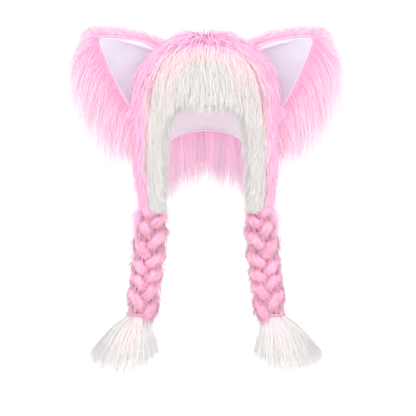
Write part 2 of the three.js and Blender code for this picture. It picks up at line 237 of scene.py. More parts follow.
def wall(name, turns, top, bottom, rows, inner, outer, material, tint=None):
    """A layer on the hood between two lines of each column, closed round all its edges."""
    down = top[:, None] + (bottom - top)[:, None] * np.linspace(0, 1, rows + 1)
    turn = np.repeat(turns[:, None], rows + 1, 1)
    out = hood(turn, down, outer(turn, down))
    into = hood(turn, down, inner(turn, down))[:, ::-1]
    fields = {}
    if tint is not None:
        flow = np.stack([np.sin(np.radians(turn)), np.cos(np.radians(turn)), down * 0.16], -1)
        fields["flow"] = np.concatenate([flow, flow[:, ::-1]], 1)
        value = tint(turn, down, out)
        fields["tint"] = np.concatenate([value, value[:, ::-1]], 1)
    around = turns[-1] - turns[0] > 350
    return loft(name, np.concatenate([out, into], 1), material, around, **fields)


def new_material(name):
    material = bpy.data.materials.new(name)
    material.use_nodes = True
    tree = material.node_tree
    return material, tree, tree.nodes["Principled BSDF"]


def add(tree, *kinds):
    return [tree.nodes.new(kind) for kind in kinds]


def link(tree, *wires):
    """Each wire goes from a node's output to a node's input, both by name."""
    for source, given, target, taken in wires:
        tree.links.new(source.outputs[given], target.inputs[taken])


def new_tree(name, kind, takes, gives):
    """An empty node group with named sockets, and the nodes where values enter and leave."""
    tree = bpy.data.node_groups.new(name, kind)
    for way, sockets in (("INPUT", takes), ("OUTPUT", gives)):
        for socket, of in sockets.items():
            tree.interface.new_socket(socket, in_out=way, socket_type=f"NodeSocket{of}")
    return tree, *add(tree, "NodeGroupInput", "NodeGroupOutput")


def cloth_grain_group():
    """Brushed cloth: a soft mottle between two tones, and a fine nap as height."""
    takes = {"Deep": "Color", "Pale": "Color", "Mottle Scale": "Float", "Nap Scale": "Float"}
    gives = {"Color": "Color", "Height": "Float"}
    group, enter, leave = new_tree("cloth_grain", "ShaderNodeTree", takes, gives)
    place, span, tone = add(group, "ShaderNodeTexCoord", "ShaderNodeMapRange", "ShaderNodeMix")
    mottle, nap = add(group, "ShaderNodeTexNoise", "ShaderNodeTexNoise")
    tone.data_type = "RGBA"
    preset(mottle, {"Detail": 3})
    preset(span, {"From Min": 0.3, "From Max": 0.7})
    link(
        group,
        (place, "Object", mottle, "Vector"),
        (place, "Object", nap, "Vector"),
        (enter, "Mottle Scale", mottle, "Scale"),
        (enter, "Nap Scale", nap, "Scale"),
        (mottle, "Fac", span, "Value"),
        (span, "Result", tone, "Factor"),
        (enter, "Deep", tone, "A"),
        (enter, "Pale", tone, "B"),
        (tone, "Result", leave, "Color"),
        (nap, "Fac", leave, "Height"),
    )
    return group


cloth_grain = cloth_grain_group()


def cloth(name, deep, pale, nap_scale, nap_depth, roughness, sheen):
    material, tree, shader = new_material(name)
    grain, bump = add(tree, "ShaderNodeGroup", "ShaderNodeBump")
    grain.node_tree = cloth_grain
    preset(grain, {"Deep": (*deep, 1), "Pale": (*pale, 1)})
    preset(grain, {"Mottle Scale": 24, "Nap Scale": nap_scale})
    preset(bump, {"Strength": 0.3, "Distance": nap_depth * MM})
    preset(shader, {"Roughness": roughness, "Sheen Weight": sheen})
    link(
        tree,
        (grain, "Color", shader, "Base Color"),
        (grain, "Height", bump, "Height"),
        (bump, "Normal", shader, "Normal"),
    )
    return material


GORE_SEAMS = (0, 62, -62, 180)
GORES = np.unique(np.abs(GORE_SEAMS))
GROOVE = {"deep": 0.9, "wide": 1.3}
PUCKER = {"high": 0.35, "wide": 5, "waves": 70}
SLACK = {"high": 0.7, "waves": 7, "lean": 2.2}


def lining_folds(turn, down):
    """The cloth's slack between its seams, and the groove and pucker along each seam."""
    turn = fold(turn)
    near = np.min(np.abs(turn[..., None] - GORES), -1)
    groove = -GROOVE["deep"] * np.exp(-((near / GROOVE["wide"]) ** 2)) * smooth(down, 0.1, 0.3)
    pucker = PUCKER["high"] * np.sin(down * PUCKER["waves"])
    pucker *= np.exp(-((near / PUCKER["wide"]) ** 2))
    slack = SLACK["high"] * np.sin(np.radians(turn) * SLACK["waves"] + SLACK["lean"] * down)
    return (groove + pucker + slack * smooth(down, 0.4, 1.3)) * smooth(down, 0, 0.2)


lining_tricot = cloth("lining_tricot", (0.93, 0.91, 0.94), (0.97, 0.96, 0.98), 1500, 0.4, 0.5, 0.3)
LINING_INNER, LINING_OUTER = 0.3, 1.5
turns = np.linspace(-180, 177, 120)
lining = wall(
    "lining_cloth",
    turns,
    np.zeros(len(turns)),
    down_to(hem(turns)),
    44,
    lambda turn, down: LINING_INNER - lining_folds(turn, down),
    lambda turn, down: np.full(turn.shape, LINING_OUTER),
    lining_tricot,
)


def rolled_edge(name, path, radius, material, sides=10):
    """A thin roll of cloth that follows a path."""
    path = np.asarray(path, float)
    travel = np.gradient(path, axis=0)
    travel /= np.linalg.norm(travel, axis=1, keepdims=True)
    side = np.cross(travel, [0, 1.0, 0.02])
    side /= np.linalg.norm(side, axis=1, keepdims=True)
    up = np.cross(side, travel)
    angle = np.linspace(0, 2 * math.pi, sides, endpoint=False)
    reach = np.broadcast_to(np.asarray(radius, float), len(path))[:, None, None]
    cos, sin = np.cos(angle)[None, :, None], np.sin(angle)[None, :, None]
    return loft(name, path[:, None] + reach * (cos * side[:, None] + sin * up[:, None]), material)


HEM_RADIUS = 1.7
nape_turns = np.linspace(70, 290, 200)
hem_tricot = cloth("hem_tricot", (0.86, 0.76, 0.86), (0.95, 0.88, 0.95), 1500, 0.4, 0.45, 0.3)
hem_path = hood(nape_turns, down_to(hem(nape_turns)) - 0.002, 1.2)
nape_hem = rolled_edge("lining_hem", hem_path, HEM_RADIUS, hem_tricot)


def stitch_row_tree():
    """Evenly spaced stitches along a path, each a small rounded bar of thread."""
    sizes = {"Spacing": "Float", "Length": "Float", "Thickness": "Float"}
    takes = {"Path": "Geometry", **sizes, "Thread": "Material"}
    tree, enter, leave = new_tree("stitch_row", "GeometryNodeTree", takes, {"Stitches": "Geometry"})
    curve, spaced = add(tree, "GeometryNodeMeshToCurve", "GeometryNodeResampleCurve")
    bar, shape = add(tree, "GeometryNodeMeshUVSphere", "GeometryNodeTransform")
    size, tangent = add(tree, "ShaderNodeCombineXYZ", "GeometryNodeInputTangent")
    aim, place = add(tree, "FunctionNodeAlignRotationToVector", "GeometryNodeInstanceOnPoints")
    real, round_off = add(tree, "GeometryNodeRealizeInstances", "GeometryNodeSetShadeSmooth")
    (dress,) = add(tree, "GeometryNodeSetMaterial")
    spaced.mode, aim.axis = "LENGTH", "X"
    preset(bar, {"Segments": 6, "Rings": 4, "Radius": 0.5})
    link(
        tree,
        (enter, "Path", curve, "Mesh"),
        (curve, "Curve", spaced, "Curve"),
        (enter, "Spacing", spaced, "Length"),
        (enter, "Length", size, "X"),
        (enter, "Thickness", size, "Y"),
        (enter, "Thickness", size, "Z"),
        (bar, "Mesh", shape, "Geometry"),
        (size, "Vector", shape, "Scale"),
        (tangent, "Tangent", aim, "Vector"),
        (spaced, "Curve", place, "Points"),
        (shape, "Geometry", place, "Instance"),
        (aim, "Rotation", place, "Rotation"),
        (place, "Instances", real, "Geometry"),
        (real, "Geometry", round_off, "Geometry"),
        (round_off, "Geometry", dress, "Geometry"),
        (enter, "Thread", dress, "Material"),
        (dress, "Geometry", leave, "Stitches"),
    )
    return tree


def grown(name, paths, tree, **values):
    """What a Geometry Nodes tree makes along some paths, as a plain mesh."""
    points, edges = [], []
    for path in paths:
        edges += [(len(points) + i, len(points) + i + 1) for i in range(len(path) - 1)]
        points += (np.asarray(path) * MM).tolist()
    mesh = bpy.data.meshes.new(name)
    mesh.from_pydata(points, edges, [])
    piece = bpy.data.objects.new(name, mesh)
    bpy.context.collection.objects.link(piece)
    nodes = piece.modifiers.new("nodes", "NODES")
    nodes.node_group = tree
    for socket in tree.interface.items_tree:
        if socket.name in values:
            nodes[socket.identifier] = values[socket.name]
    made = piece.evaluated_get(bpy.context.evaluated_depsgraph_get())
    plain = bpy.data.meshes.new_from_object(made)
    piece.modifiers.clear()
    piece.data = plain
    return piece


def inside(turn, down):
    """The side of the lining that shows inside the hood."""
    return hood(turn, down, 0.2 - lining_folds(turn, down))


stitch_row = stitch_row_tree()
lilac_thread = cloth("lilac_thread", (0.72, 0.62, 0.74), (0.84, 0.75, 0.85), 4000, 0.1, 0.5, 0.2)
SEAM_STITCH = {"Spacing": 4.4 * MM, "Length": 3.4 * MM, "Thickness": 0.8 * MM}
topstitch = np.linspace(72, 288, 120)
stitched = [inside(topstitch, down_to(hem(topstitch)) - 0.035)]
for at in GORE_SEAMS:
    down = np.linspace(0.14, down_to(hem(at)) - 0.02, 60)
    stitched.append(inside(np.full(60, float(at)), down))
lining_stitches = grown("lining_stitches", stitched, stitch_row, Thread=lilac_thread, **SEAM_STITCH)
for piece in (lining, nape_hem, lining_stitches):
    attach(piece, "root")
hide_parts("hood_lining")

# Crown fur. Long pink pile on a knitted backing that covers the top, the sides and the back of
# the hood down to the nape, where it hangs on as a fringe. The pile lies in soft locks over its
# own dense underfur.
PILE = {"top": 24.0, "side": 21.0, "shoulder": 9.0}
DENSE = 0.7  # how much of the pile's height the underfur fills
BACKING_INNER, BACKING_OUTER = 1.9, 3.2
LOCK_WIDE, LOCK_TIERS = 13.0, 4.2
MEAN_RADIUS = 88.0
COMBED = 35.0  # how far the pink pile is combed down over the seam at the brow
BLOCK = 4000  # points measured at a time


def pile_height(turn, down):
    """How far the locks stand out. They are longest at the shoulders, over the ears."""
    sideways = np.abs(np.sin(np.radians(turn)))
    shoulder = PILE["shoulder"] * sideways * np.exp(-(((down - 0.5) / 0.3) ** 2))
    return PILE["top"] + (PILE["side"] - PILE["top"]) * smooth(down, 0, 0.8) + shoulder


def lock_relief(turn, down):
    """Low overlapping locks, from 0 between them to 1 on their crests."""
    ring = np.maximum(np.sin(np.clip(down, 0.08, 1) * QUARTER), 0.1)
    column = np.radians(turn) * MEAN_RADIUS * ring / LOCK_WIDE
    wander = 0.6 * np.sin(column * 1.7 + 3 * np.sin(down * 5))
    tier = down * LOCK_TIERS + wander + 0.3 * np.sin(column * 4.1)
    shingle = (tier % 1) ** 1.3 * (1 - smooth(tier % 1, 0.8, 1))
    across = np.cos(2 * math.pi * column + 4 * np.sin(down * 7) + np.floor(tier) * 2.4)
    return smooth(down, 0.04, 0.3) * (0.6 * shingle + 0.4 * (0.5 + 0.5 * across))


def crown_line(turn):
    turn = fold(turn)
    return down_to(np.where(turn < FLAP_TIP, along(FACE_SEAM, turn), along(NAPE_EDGE, turn)))


def brow_line(turn):
    return down_to(along(BROW_EDGE, fold(turn)))


def dense_height(turn, down):
    """The top of the underfur. It thins out towards the free edges of the hood."""
    nape = down_to(along(NAPE_EDGE, fold(turn)))
    free = np.where(fold(turn) < BROW_END, brow_line(turn), nape)
    edge = 0.3 + 0.7 * smooth(free - down, 0, 0.16)
    full = pile_height(turn, down) * DENSE - BACKING_OUTER
    return BACKING_OUTER + full * edge * (0.86 + 0.22 * lock_relief(turn, down))


def backing(turn, down):
    """The inner face of the furs' knitted backing."""
    return np.full(turn.shape, BACKING_INNER)


def nearest(points, targets):
    """Which target is nearest to each point, and how far away it is."""
    which, away = np.empty(len(points), int), np.empty(len(points))
    for start in range(0, len(points), BLOCK):
        some = slice(start, start + BLOCK)
        gap = np.linalg.norm(points[some, None] - targets[None], axis=2)
        which[some], away[some] = gap.argmin(1), gap.min(1)
    return which, away


def seam_distance(places):
    """Millimetres from the seam between the pink and the cream fur."""
    at = np.linspace(-FLAP_TIP, FLAP_TIP, 160)
    seam = hood(at, down_to(along(FACE_SEAM, np.abs(at))), 10)
    return nearest(places.reshape(-1, 3), seam)[1].reshape(places.shape[:-1])


def past_seam(turn, down, places):
    """Millimetres past the line where the pink turns to cream.

    Over the brow the pink pile is combed down across the sewn seam, so the line is lower there."""
    cream = (down > crown_line(turn)) & (fold(turn) < FLAP_TIP)
    combed = COMBED * (1 - smooth(fold(turn), 18, 60))
    return seam_distance(places) * np.where(cream, 1, -1) - combed


FIBRE_ROUND = 0.3  # how much of a fibre's own roundness shows in its shading


def fibres(name, paths, out, width, material, tint, seed, shade):
    """Tapered fibres as one mesh: three-sided, closed at the root and pointed at the tip.

    They are shaded as the coat they lie in, which faces out."""
    rng = np.random.default_rng(seed)
    count, steps = paths.shape[:2]
    travel = np.gradient(paths, axis=1)
    travel /= np.linalg.norm(travel, axis=2, keepdims=True) + 1e-9
    side = np.cross(travel, out[:, None] + [0.01, 0.02, 0])
    side /= np.linalg.norm(side, axis=2, keepdims=True) + 1e-9
    up = np.cross(travel, side)
    rings = steps - 1
    part = np.linspace(0, 1, steps)[:-1]
    taper = (0.8 + 0.55 * part - 1.05 * part**2)[None, :, None, None]
    spin = rng.uniform(0, 2 * math.pi, count)[:, None] + np.arange(3) * 2 * math.pi / 3
    spin = spin[:, None, :, None]
    ring = np.cos(spin) * side[:, :-1, None] + np.sin(spin) * up[:, :-1, None]
    body = paths[:, :-1, None] + taper * (width / 2) * ring
    points = np.concatenate([body.reshape(count, -1, 3), paths[:, -1:]], 1).reshape(-1, 3)
    per, last = 3 * rings + 1, 3 * (rings - 1)
    quads = [
        [3 * r + i, 3 * r + (i + 1) % 3, 3 * r + 3 + (i + 1) % 3, 3 * r + 3 + i]
        for r in range(rings - 1)
        for i in range(3)
    ]
    tips = [[last + i, last + (i + 1) % 3, 3 * rings] for i in range(3)] + [[2, 1, 0]]
    if tint.ndim == 1:
        tint = np.repeat(tint[:, None], steps, 1)
    tint = np.concatenate([np.repeat(tint[:, :-1], 3, 1), tint[:, -1:]], 1)
    base = np.arange(count)[:, None] * per
    walls, ends = np.array(quads, int).ravel(), np.array(tips).ravel()
    corners = np.concatenate([walls + base, ends + base], 1)
    sizes = np.tile([4] * len(quads) + [3] * len(tips), count)
    piece = make_mesh(
        name,
        points,
        corners.ravel(),
        np.concatenate([[0], np.cumsum(sizes)[:-1]]),
        material,
        reach=np.tile(np.concatenate([np.repeat(part, 3), [1.0]]), count),
        strand=np.repeat(0.5 * shade + 0.5 * rng.random(count), per),
        tint=tint.ravel(),
    )
    facing = np.concatenate([ring.reshape(count, -1, 3), travel[:, -1:]], 1)
    facing = facing * FIBRE_ROUND + out[:, None]
    facing /= np.linalg.norm(facing, axis=2, keepdims=True) + 1e-9
    piece.data.normals_split_custom_set_from_vertices(facing.reshape(-1, 3).tolist())
    return piece


MOST_LOCKS = 5000


def locks(roots, spacing, seed):
    """The fibre in the middle of each one's lock, how far off it grows, and the lock's shade."""
    rng = np.random.default_rng(seed)
    chosen = []
    for i in rng.permutation(len(roots))[:MOST_LOCKS]:
        if not chosen or np.min(np.sum((roots[chosen] - roots[i]) ** 2, 1)) > spacing**2:
            chosen.append(i)
    which, away = nearest(roots, roots[chosen])
    shade = rng.random(len(chosen))[which]
    return np.array(chosen)[which], np.clip(away / spacing, 0, 1), shade


def gathered(paths, part, owner, pull, frizz, seed):
    """Fibres whose tips are drawn towards the middle of their lock, with a wave of their own."""
    rng = np.random.default_rng(seed)
    pull = np.broadcast_to(pull, len(paths))[:, None, None]
    drawn = paths + (paths[owner] - paths) * pull * (part**1.5)[None, :, None]
    length = np.linalg.norm(paths[:, -1] - paths[:, 0], axis=1)[:, None, None]
    sway = rng.normal(0, 1, (len(paths), 2, 3))
    tip, belly = (part**2)[None, :, None], np.sin(math.pi * part)[None, :, None]
    return drawn + (sway[:, :1] * tip + sway[:, 1:] * belly * 0.7) * frizz * length


def scatter(count, low, high, seed):
    """Even random places on the hood between two lines, low and high by the angle round."""
    rng = np.random.default_rng(seed)
    tries = 8 * count
    turn, down = rng.uniform(-180, 180, tries), rng.uniform(0, 2.15, tries)
    ring = np.where(down < 1, np.sin(down * QUARTER), 1)
    keep = (rng.random(tries) < ring) & (down > low(turn)) & (down < high(turn))
    return turn[keep][:count], down[keep][:count]


FIBRE_MIDDLE = 0.45  # how far along a fibre its middle colour lies


def fibre_colour_group():
    """Colour of one fibre: deeper at its root, paler at its tip, with its own slight shade."""
    takes = {"Root": "Color", "Middle": "Color", "Tip": "Color", "Darkest": "Float"}
    gives = {"Color": "Color"}
    group, enter, leave = new_tree("fibre_colour", "ShaderNodeTree", takes, gives)
    reach, strand = add(group, *["ShaderNodeAttribute"] * 2)
    reach.attribute_name, strand.attribute_name = "reach", "strand"
    lower, upper, shade = add(group, *["ShaderNodeMapRange"] * 3)
    preset(lower, {"From Max": FIBRE_MIDDLE})
    preset(upper, {"From Min": FIBRE_MIDDLE})
    first, second, tone = add(group, *["ShaderNodeMix"] * 3)
    first.data_type = second.data_type = tone.data_type = "RGBA"
    tone.blend_type = "MULTIPLY"
    preset(tone, {"Factor": 1})
    link(
        group,
        (reach, "Fac", lower, "Value"),
        (reach, "Fac", upper, "Value"),
        (lower, "Result", first, "Factor"),
        (upper, "Result", second, "Factor"),
        (enter, "Root", first, "A"),
        (enter, "Middle", first, "B"),
        (first, "Result", second, "A"),
        (enter, "Tip", second, "B"),
        (enter, "Darkest", shade, "To Min"),
        (strand, "Fac", shade, "Value"),
        (second, "Result", tone, "A"),
        (shade, "Result", tone, "B"),
        (tone, "Result", leave, "Color"),
    )
    return group


PEACH_SHARE = 1.8


def two_tone_group():
    """From one fur colour to another by the tint on the mesh, through a warm peach between them."""
    takes = {"First": "Color", "Between": "Color", "Second": "Color"}
    group, enter, leave = new_tree("two_tone", "ShaderNodeTree", takes, {"Color": "Color"})
    (tint,) = add(group, "ShaderNodeAttribute")
    tint.attribute_name = "tint"
    rest, hump, most = add(group, *["ShaderNodeMath"] * 3)
    rest.operation, hump.operation, most.operation = "SUBTRACT", "MULTIPLY", "MULTIPLY"
    preset(rest, {0: 1})
    preset(most, {1: PEACH_SHARE})
    both, peach = add(group, *["ShaderNodeMix"] * 2)
    both.data_type = peach.data_type = "RGBA"
    link(
        group,
        (tint, "Fac", rest, 1),
        (rest, "Value", hump, 0),
        (tint, "Fac", hump, 1),
        (hump, "Value", most, 0),
        (tint, "Fac", both, "Factor"),
        (enter, "First", both, "A"),
        (enter, "Second", both, "B"),
        (most, "Value", peach, "Factor"),
        (both, "Result", peach, "A"),
        (enter, "Between", peach, "B"),
        (peach, "Result", leave, "Color"),
    )
    return group


fibre_colour, two_tone = fibre_colour_group(), two_tone_group()


def three_tones(root, middle, tip):
    """The colours of a fibre at its root, its middle and its tip."""
    return {"Root": (*root, 1), "Middle": (*middle, 1), "Tip": (*tip, 1)}


PINK = three_tones((0.96, 0.4, 0.64), (0.97, 0.475, 0.7), (0.98, 0.555, 0.76))
CREAM = three_tones((0.61, 0.58, 0.563), (0.65, 0.625, 0.61), (0.69, 0.668, 0.655))
PEACH = (0.96, 0.74, 0.71, 1)


def soft_fur(shader, tree, colour, glow):
    """The finish of fine synthetic fibre, with a painted glow: the fibre's own colour given off as
    light, which lifts the shade between the fibres.
    """
    preset(shader, {"Roughness": 0.6, "Specular IOR Level": 0.2, "Sheen Weight": 0.1})
    preset(shader, {"Emission Strength": glow})
    link(tree, *[(colour, "Color", shader, taken) for taken in ("Base Color", "Emission Color")])


def fur_material(name, inner, outer, glow=0.26, darkest=0.93):
    """Long synthetic pile, from the one colour to the other by how the fibres are tinted."""
    material, tree, shader = new_material(name)
    mix, first, second = add(tree, *["ShaderNodeGroup"] * 3)
    mix.node_tree, first.node_tree, second.node_tree = two_tone, fibre_colour, fibre_colour
    preset(mix, {"Between": PEACH})
    preset(first, {**inner, "Darkest": darkest})
    preset(second, {**outer, "Darkest": darkest})
    link(tree, (first, "Color", mix, "First"), (second, "Color", mix, "Second"))
    soft_fur(shader, tree, mix, glow)
    return material


CREAM_UNDER = ((0.7, 0.67, 0.645, 1), (0.8, 0.77, 0.75, 1))


def underfur_material(name, pink, cream, glow=0.12):
    """Dense underfur: fine streaks that run the way the pile lies."""
    material, tree, shader = new_material(name)
    flow, both, span = add(tree, "ShaderNodeAttribute", "ShaderNodeMath", "ShaderNodeMapRange")
    flow.attribute_name = "flow"
    streak, lock = add(tree, *["ShaderNodeTexNoise"] * 2)
    preset(streak, {"Scale": 60, "Detail": 4})
    preset(lock, {"Scale": 14, "Detail": 2})
    preset(span, {"From Min": 0.78, "From Max": 1.22})
    mix, bump = add(tree, "ShaderNodeGroup", "ShaderNodeBump")
    mix.node_tree = two_tone
    preset(mix, {"Between": PEACH})
    preset(bump, {"Strength": 0.5, "Distance": 1.5 * MM})
    for (deep, pale), socket in ((pink, "First"), (cream, "Second")):
        (tone,) = add(tree, "ShaderNodeMix")
        tone.data_type = "RGBA"
        preset(tone, {"A": deep, "B": pale})
        link(tree, (span, "Result", tone, "Factor"), (tone, "Result", mix, socket))
    link(
        tree,
        (flow, "Vector", streak, "Vector"),
        (flow, "Vector", lock, "Vector"),
        (streak, "Fac", both, 0),
        (lock, "Fac", both, 1),
        (both, "Value", span, "Value"),
        (span, "Result", bump, "Height"),
        (bump, "Normal", shader, "Normal"),
    )
    soft_fur(shader, tree, mix, glow)
    return material


pink_pile = fur_material("pink_pile", PINK, CREAM, 0.28, 0.96)
underfur = underfur_material("underfur", ((0.97, 0.4, 0.66, 1), (1.0, 0.53, 0.78, 1)), CREAM_UNDER)

EAR_TOP, EAR_LOW = np.array([28.0, -23.0]), np.array([76.0, -122.0])
EAR_APEX = np.array([149.0, 9.0])
EAR_BULGE, EAR_CUP, EAR_FACE = 8.0, 15.0, -12.0
EAR_MIDDLE = (EAR_TOP + EAR_LOW) / 2
EAR_ACROSS = (EAR_LOW - EAR_TOP) / np.linalg.norm(EAR_LOW - EAR_TOP)
EAR_HALF = np.linalg.norm(EAR_LOW - EAR_TOP) / 2
EAR_OUT = EAR_APEX - EAR_MIDDLE


def ear_half(v):
    v = np.clip(v, 0, 1)
    return EAR_HALF * (1 - v) ** 0.9 + EAR_BULGE * np.sin(math.pi * v) + 2 * v


def ear_hollow(u, v):
    deepest = np.sin(math.pi * np.clip(v * 0.72 + 0.28, 0, 1))
    return EAR_CUP * (1 - (2 * u - 1) ** 2) * deepest


def through_ear(places):
    """Which points would be inside an ear."""
    flat = np.stack([np.abs(places[..., 0]), places[..., 2]], -1) - EAR_MIDDLE
    v = flat @ EAR_OUT / (EAR_OUT @ EAR_OUT)
    across = (flat - v[..., None] * EAR_OUT) @ EAR_ACROSS
    half = ear_half(v) + 3
    u = np.clip(0.5 + across / (2 * half), 0, 1)
    depth = places[..., 1] - EAR_FACE - ear_hollow(u, v)
    return (v > -0.1) & (v < 1) & (np.abs(across) < half) & (depth > -0.6) & (depth < 11)


COAT = np.array([0.0, 0.3, 0.65, 1.0])  # where along a fibre its points are
STUB = np.array([0.0, 0.45, 1.0])
COAT_LENGTH = 40.0
COAT_LOCK = 8.0
ROOTED = 2.5  # how deep in the underfur a fibre starts
STEEPEST = 0.6
PAST_SEAM = 26.0
CROWN_FIBRES, NAPE_FIBRES = 12000, 4300


def hood_fibres(turn, down, tip_down, low, peak, drift):
    """Fibres that lie along the hood: out of the underfur, then down to their tips."""
    d = down[:, None] + (tip_down - down)[:, None] * (COAT**1.1)[None]
    lift = 1 - (1 - COAT) ** 1.9
    height = low[:, None] + (peak - low)[:, None] * lift[None]
    ring = np.maximum(np.sin(np.clip(d, 0.05, 1) * QUARTER), 0.12)
    sideways = np.degrees(drift[:, None] / (MEAN_RADIUS * ring)) * (COAT**1.3)[None]
    return hood(turn[:, None] + sideways, d, height)


def outwards(turn, down):
    return hood(turn, down, 1) - hood(turn, down, 0)


def coat_length(off, rng):
    return COAT_LENGTH * (1.05 - 0.2 * off) * rng.uniform(0.65, 1.15, len(off))


def coat_drift(turn, down, owner, rng):
    """How far the tips stray sideways: one way for a whole lock, and a little each."""
    whole = np.sin(turn[owner] * 12.9898 + down[owner] * 78.233)
    return 2.2 * whole + rng.normal(0, 2, len(turn))


def fringe_drift(turn, owner, rng):
    return 3 * np.sin(turn[owner] * 3.7) + rng.normal(0, 2, len(turn))


def laid(peak, base, run):
    """The height of the tips, kept above the underfur and from standing up steeply."""
    return np.maximum(np.minimum(peak, base + run * SKIRT * STEEPEST), base + 1)


def crown_coat():
    rng = np.random.default_rng(21)
    turn, down = scatter(CROWN_FIBRES, lambda t: 0 * t, crown_line, 22)
    count, side = len(turn), fold(turn)
    base = dense_height(turn, down)
    owner, off, shade = locks(hood(turn, down, base - ROOTED), COAT_LOCK, 23)
    length = coat_length(off, rng)
    over = down_to(along(FACE_SEAM, side)) + rng.uniform(0.3, 1.5, count) * PAST_SEAM / SKIRT
    hang = along(NAPE_EDGE, side, "hang") * rng.uniform(0.7, 1, count)
    lowest = np.where(side < FLAP_TIP, over, down_to(hem(turn) - hang))
    tip_down = np.minimum(down + length / SKIRT, lowest)
    stray = rng.random(count) < 0.06
    peak = np.where(stray, rng.uniform(1.08, 1.3, count), rng.uniform(0.84, 1.08, count))
    peak += 0.16 * (1 - smooth(down, 0.04, 0.2))
    peak += 0.2 * smooth(down, 1.0, 1.4) * np.abs(np.sin(np.radians(turn)))
    peak = laid(peak * pile_height(turn, down), base, tip_down - down)
    drift = coat_drift(turn, down, owner, rng)
    beside_seam = np.exp(-(((side - 63) / 6) ** 2)) * smooth(down, 0.45, 0.8)
    drift -= np.sign(turn) * beside_seam * rng.uniform(-3, 17, count)
    paths = hood_fibres(turn, down, tip_down, base - ROOTED, peak, drift)
    paths = gathered(paths, COAT, owner, 0.2 * rng.uniform(0.4, 1.3, count), 0.022, 24)
    keep = ~through_ear(paths).any(1) & (tip_down - down > 0.05)
    at = down[:, None] + (tip_down - down)[:, None] * COAT[None]
    past = past_seam(turn[:, None] + 0 * at, at, paths)
    tint = 0.85 * smooth(past, -12, 22) * rng.uniform(0.6, 1.2, (count, 1))
    out = outwards(turn, down) * (0.25 + 0.55 * smooth(down, 0.05, 0.3))[:, None]
    return [row[keep] for row in (paths, out, np.clip(tint, 0, 1), shade)]


def nape_fringe():
    rng = np.random.default_rng(31)
    count = NAPE_FIBRES
    turn = rng.uniform(69, 291, count)
    turn = np.where(turn > 180, turn - 360, turn)
    line = hem(turn)
    down = down_to(line) - rng.uniform(0.0, 0.1, count)
    owner, off, shade = locks(hood(turn, down, 3), 7.0, 32)
    corner = 3 * np.exp(-(((fold(turn) - 82) / 9) ** 2))
    hang = along(NAPE_EDGE, fold(turn), "hang") + corner
    hang *= (1.2 - 0.14 * off) * (0.56 + 0.49 * rng.random(count) ** 1.4)
    peak = rng.uniform(2.2, 17, count)
    drift = fringe_drift(turn, owner, rng)
    tip_down = down_to(line - hang)
    paths = hood_fibres(turn, down, tip_down, np.minimum(peak, 3), peak, drift)
    paths = gathered(paths, COAT, owner, 0.35 * rng.uniform(0.4, 1.15, count), 0.015, 33)
    # The fibres that stand low, on the inside of the fringe, take the paler pink as painted light.
    inner = peak + rng.normal(0, 1.5, count) < 9.5
    return paths, outwards(turn, down) * 0, inner.astype(float), shade


def pink_tint(turn, down, places):
    return 0.8 * smooth(past_seam(turn, down, places), -14, 20)


# A paler copy of the pink: painted light for the fringe's inner fibres, which hang in shade under
# the hem.
FRINGE_LIT_PINK = three_tones((1.0, 0.56, 0.78), (1.0, 0.7, 0.86), (1.0, 0.8, 0.91))
fringe_pile = fur_material("fringe_pile", PINK, FRINGE_LIT_PINK, 0.24, 0.76)
coat = crown_coat()
crown_pieces = []
on_left = coat[0][:, 0, 0] < 0
for name, half, seed in (("left", on_left, 25), ("right", ~on_left, 26)):
    paths, out, tint, shade = (row[half] for row in coat)
    pile = fibres(f"crown_pile_{name}", paths, out, 1.05, pink_pile, tint, seed, shade)
    crown_pieces.append(pile)
paths, out, tint, shade = nape_fringe()
crown_pieces.append(fibres("nape_fringe", paths, out, 0.95, fringe_pile, tint, 34, shade))
crown_turns = np.linspace(-180, 177.6, 150)
crown_under = wall(
    "crown_underfur",
    crown_turns,
    np.zeros(len(crown_turns)),
    crown_line(crown_turns),
    44,
    backing,
    dense_height,
    underfur,
    pink_tint,
)
for piece in (crown_under, *crown_pieces):
    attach(piece, "root")
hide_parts("crown_fur")

# Face trim. A broad band of cream fur sewn to the crown along the face seam. It hangs in a
# fringe over the brow and down both cheeks to the tips of the ear flaps.
TRIM_FIBRES, BROW_FIBRES, FLAP_FIBRES = 7000, 3200, 2400
cream_pile = fur_material("cream_pile", PINK, CREAM, 0.3, 0.97)


def inward_lean(turn, low, high):
    """The drift of the cream fur towards the opening, stronger at the cheeks."""
    return -np.sign(turn) * (smooth(fold(turn), low, high) + smooth(fold(turn), 42, 47))


def trim_coat():
    rng = np.random.default_rng(41)
    above = lambda t: np.where(fold(t) < 65.5, crown_line(t), 9)
    turn, down = scatter(TRIM_FIBRES, above, brow_line, 42)
    count = len(turn)
    base = dense_height(turn, down)
    owner, off, shade = locks(hood(turn, down, base - ROOTED), COAT_LOCK, 43)
    length = coat_length(off, rng)
    lowest = down_to(along(BROW_EDGE, fold(turn), "fringe") + rng.uniform(-3, 8, count))
    tip_down = np.minimum(down + length / SKIRT, lowest)
    peak = pile_height(turn, down) * rng.uniform(0.84, 1.06, count)
    peak = laid(peak, base, tip_down - down)
    inward = inward_lean(turn, 30, 42) * rng.uniform(2, 10, count)
    drift = coat_drift(turn, down, owner, rng) + inward
    paths = hood_fibres(turn, down, tip_down, base - ROOTED, peak, drift)
    paths = gathered(paths, COAT, owner, 0.2 * rng.uniform(0.4, 1.3, count), 0.022, 44)
    keep = tip_down - down > 0.05
    at = down[:, None] + (tip_down - down)[:, None] * COAT[None]
    past = past_seam(turn[:, None] + 0 * at, at, paths)
    tint = 1 - (1 - smooth(past, -16, 18)) * rng.uniform(0.6, 1.15, (count, 1))
    over_brow = smooth(down - brow_line(turn), -0.3, -0.1) * smooth(fold(turn), 24, 36)
    beside = (1 - smooth(fold(turn), 47, 57)) * smooth(down, 0.8, 1.0)
    out = outwards(turn, down) * (0.8 - 0.75 * np.maximum(over_brow, beside))[:, None]
    return [row[keep] for row in (paths, out, np.clip(tint, 0, 1), shade)]


